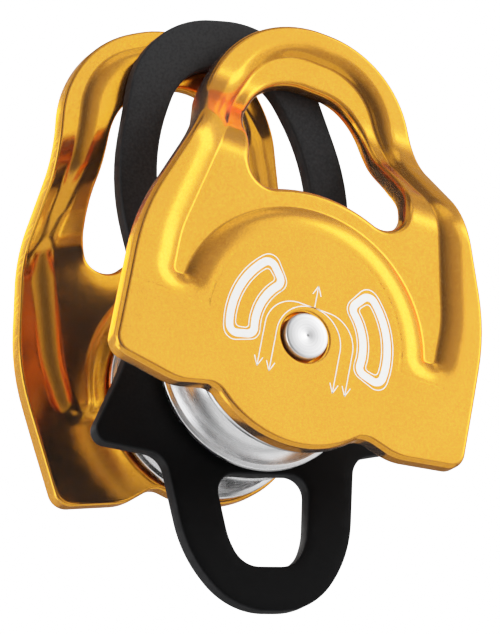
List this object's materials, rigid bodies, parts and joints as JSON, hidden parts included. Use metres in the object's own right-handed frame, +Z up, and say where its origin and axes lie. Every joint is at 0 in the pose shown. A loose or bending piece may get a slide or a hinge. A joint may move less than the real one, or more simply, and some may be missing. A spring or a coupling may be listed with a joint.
{
  "type": "double rope pulley",
  "caption": "Rope pulley with grooved ball bearing sheaves side by side on a shared axle, a centre plate with eye and becket slot, and swinging side plates that close on a carabiner.",
  "frame": {"origin": "top of the centre plate's eye, midway through its thickness, where the carabiner that holds the pulley bears", "axes": "+Z up, from the axle to the eye; Y along the axle, +Y to the rear; +X to the right as seen from the front"},
  "size_m": [0.0713, 0.0458, 0.1076],
  "materials": {
    "gold_anodised": "satin gold anodised",
    "black_anodised": "satin black anodised",
    "turned_aluminium": "fine turned",
    "steel": "satin turned",
    "bearing_steel": "ground and polished",
    "seal_rubber": "matt moulded",
    "polymer": "natural moulded"
  },
  "bodies": {
    "frame": {"centre_plate": "black_anodised", "axle": "steel", "front_inner_spacer": "steel", "front_outer_spacer": "steel", "front_thrust_washer": "polymer", "front_bearing_inner_ring": "bearing_steel", "rear_inner_spacer": "steel", "rear_outer_spacer": "steel", "rear_thrust_washer": "polymer", "rear_bearing_inner_ring": "bearing_steel"},
    "front_plate": {"front_side_plate": "gold_anodised"},
    "rear_plate": {"rear_side_plate": "gold_anodised"},
    "front_wheel": {"front_sheave": "turned_aluminium", "front_bearing_outer_ring": "bearing_steel", "front_bearing_inner_seal": "seal_rubber", "front_bearing_outer_seal": "seal_rubber"},
    "rear_wheel": {"rear_sheave": "turned_aluminium", "rear_bearing_outer_ring": "bearing_steel", "rear_bearing_inner_seal": "seal_rubber", "rear_bearing_outer_seal": "seal_rubber"},
    "front_balls": {"front_bearing_cage": "polymer", "front_bearing_ball_1": "bearing_steel", "front_bearing_ball_2": "bearing_steel", "front_bearing_ball_3": "bearing_steel", "front_bearing_ball_4": "bearing_steel", "front_bearing_ball_5": "bearing_steel", "front_bearing_ball_6": "bearing_steel", "front_bearing_ball_7": "bearing_steel"},
    "rear_balls": {"rear_bearing_cage": "polymer", "rear_bearing_ball_1": "bearing_steel", "rear_bearing_ball_2": "bearing_steel", "rear_bearing_ball_3": "bearing_steel", "rear_bearing_ball_4": "bearing_steel", "rear_bearing_ball_5": "bearing_steel", "rear_bearing_ball_6": "bearing_steel", "rear_bearing_ball_7": "bearing_steel"}
  },
  "joints": [
    {"name": "front_plate_swing", "type": "hinge", "parent": "frame", "child": "front_plate", "pos_m": [0, -0.02, -0.0556], "axis": [0, 1, 0], "continuous": true},
    {"name": "front_sheave_spin", "type": "hinge", "parent": "frame", "child": "front_wheel", "pos_m": [0, -0.01022, -0.0556], "axis": [0, 1, 0], "continuous": true},
    {"name": "front_cage_orbit", "type": "hinge", "parent": "frame", "child": "front_balls", "pos_m": [0, -0.01022, -0.0556], "axis": [0, 1, 0], "continuous": true},
    {"name": "rear_plate_swing", "type": "hinge", "parent": "frame", "child": "rear_plate", "pos_m": [0, 0.02, -0.0556], "axis": [0, 1, 0], "continuous": true},
    {"name": "rear_sheave_spin", "type": "hinge", "parent": "frame", "child": "rear_wheel", "pos_m": [0, 0.01022, -0.0556], "axis": [0, 1, 0], "continuous": true},
    {"name": "rear_cage_orbit", "type": "hinge", "parent": "frame", "child": "rear_balls", "pos_m": [0, 0.01022, -0.0556], "axis": [0, 1, 0], "continuous": true}
  ],
  "couplings": [
    {"joint": "front_cage_orbit", "follows": "front_sheave_spin", "ratio": 0.6523},
    {"joint": "rear_cage_orbit", "follows": "rear_sheave_spin", "ratio": 0.6523}
  ]
}
